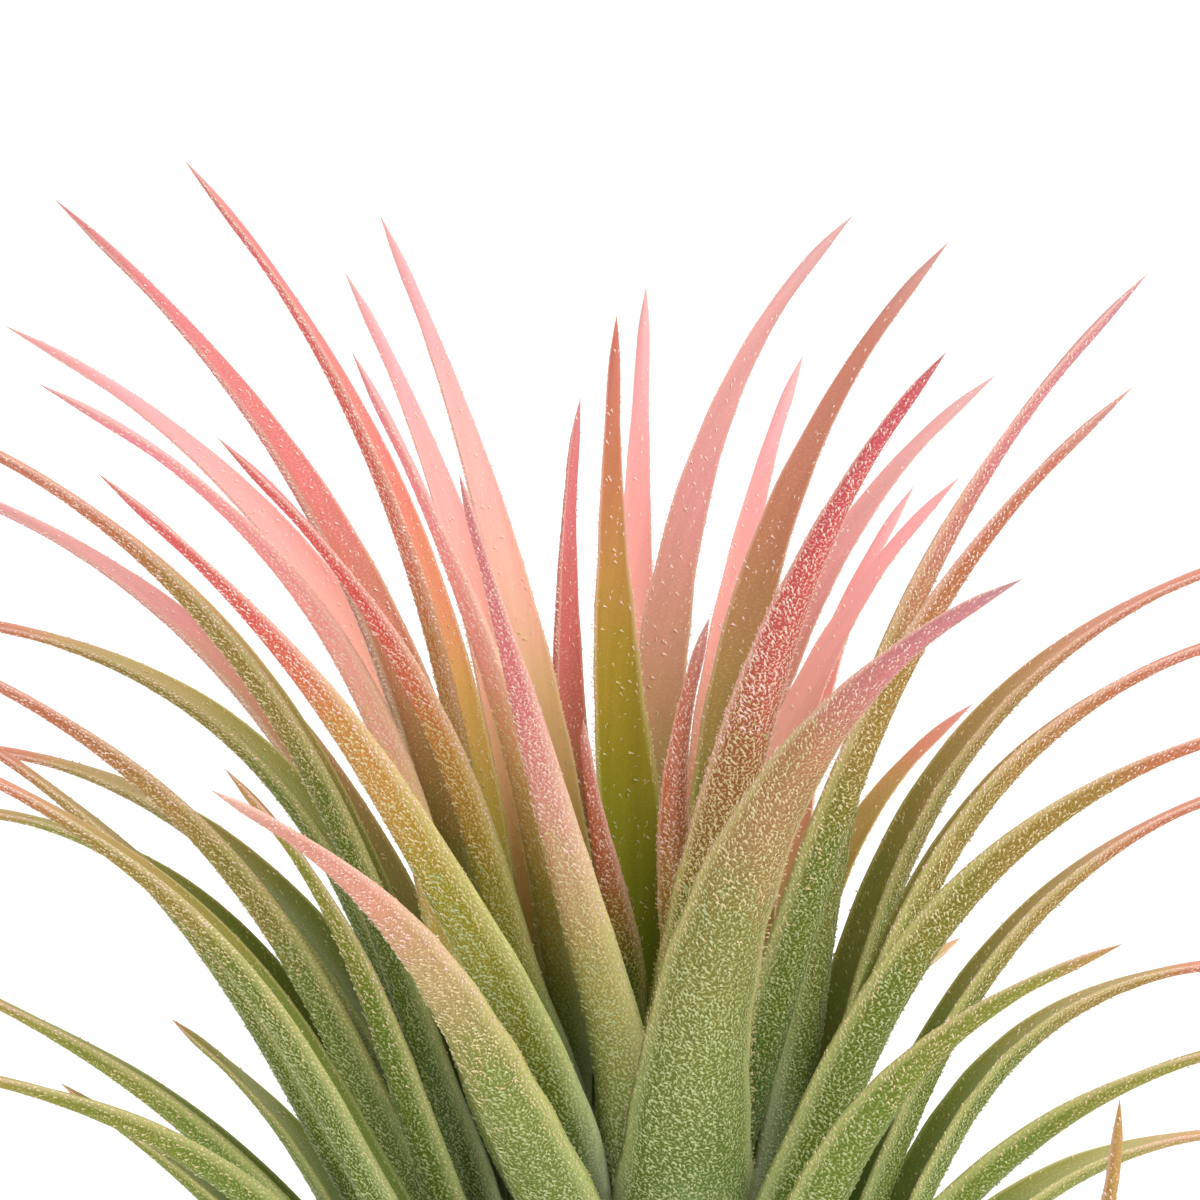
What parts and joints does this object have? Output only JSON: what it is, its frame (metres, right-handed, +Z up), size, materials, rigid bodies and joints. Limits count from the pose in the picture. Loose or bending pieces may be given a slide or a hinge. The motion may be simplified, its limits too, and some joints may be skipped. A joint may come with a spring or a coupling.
{
  "type": "sky plant",
  "caption": "Small air plant: a rosette of stiff, channelled leaves that taper to a point and arch outwards from a short woody stem, green at the base and flushed coral.",
  "frame": {"origin": "middle of the stem's flat foot, on the surface that the plant stands on", "axes": "+Z up along the stem; -Y is the side that faces the viewer in the picture; +X is to its right"},
  "size_m": [0.0666, 0.064, 0.067],
  "materials": {
    "stem": "dry, fibrous plant stem with old leaf scars",
    "youngest_leaf": "leaf tissue, deep coral red over an olive base, with silvery scales",
    "inner_leaf": "leaf tissue, coral pink to red over a green base, with silvery scales",
    "middle_leaf": "leaf tissue, orange-red tips over an olive green base, with silvery scales",
    "outer_leaf": "leaf tissue, olive green with orange-brown tips and silvery scales",
    "lower_leaf": "leaf tissue, green under dense silvery scales"
  },
  "bodies": {
    "root": {"stem": "stem", "heart_leaf_1": "youngest_leaf", "heart_leaf_2": "youngest_leaf", "heart_leaf_3": "youngest_leaf", "inner_leaf_1": "inner_leaf", "inner_leaf_2": "inner_leaf", "inner_leaf_3": "inner_leaf", "inner_leaf_4": "inner_leaf", "inner_leaf_5": "inner_leaf", "inner_leaf_6": "inner_leaf", "inner_leaf_7": "inner_leaf", "inner_leaf_8": "inner_leaf", "inner_leaf_9": "inner_leaf", "middle_leaf_1": "middle_leaf", "middle_leaf_2": "middle_leaf", "middle_leaf_3": "middle_leaf", "middle_leaf_4": "middle_leaf", "middle_leaf_5": "middle_leaf", "middle_leaf_6": "middle_leaf", "middle_leaf_7": "middle_leaf", "middle_leaf_8": "middle_leaf", "middle_leaf_9": "middle_leaf", "middle_leaf_10": "middle_leaf", "middle_leaf_11": "middle_leaf", "middle_leaf_12": "middle_leaf", "middle_leaf_13": "middle_leaf", "middle_leaf_14": "middle_leaf", "middle_leaf_15": "middle_leaf", "outer_leaf_1": "outer_leaf", "outer_leaf_2": "outer_leaf", "outer_leaf_3": "outer_leaf", "outer_leaf_4": "outer_leaf", "outer_leaf_5": "outer_leaf", "outer_leaf_6": "outer_leaf", "outer_leaf_7": "outer_leaf", "outer_leaf_8": "outer_leaf", "outer_leaf_9": "outer_leaf", "outer_leaf_10": "outer_leaf", "outer_leaf_11": "outer_leaf", "outer_leaf_12": "outer_leaf", "outer_leaf_13": "outer_leaf", "outer_leaf_14": "outer_leaf", "outer_leaf_15": "outer_leaf", "lower_leaf_1": "lower_leaf", "lower_leaf_2": "lower_leaf", "lower_leaf_3": "lower_leaf", "lower_leaf_4": "lower_leaf", "lower_leaf_5": "lower_leaf", "lower_leaf_6": "lower_leaf", "lower_leaf_7": "lower_leaf", "lower_leaf_8": "lower_leaf", "lower_leaf_9": "lower_leaf", "lower_leaf_10": "lower_leaf", "lower_leaf_11": "lower_leaf", "skirt_leaf_1": "lower_leaf", "skirt_leaf_2": "lower_leaf", "skirt_leaf_3": "lower_leaf", "skirt_leaf_4": "lower_leaf", "skirt_leaf_5": "lower_leaf", "skirt_leaf_6": "lower_leaf"}
  },
  "joints": []
}
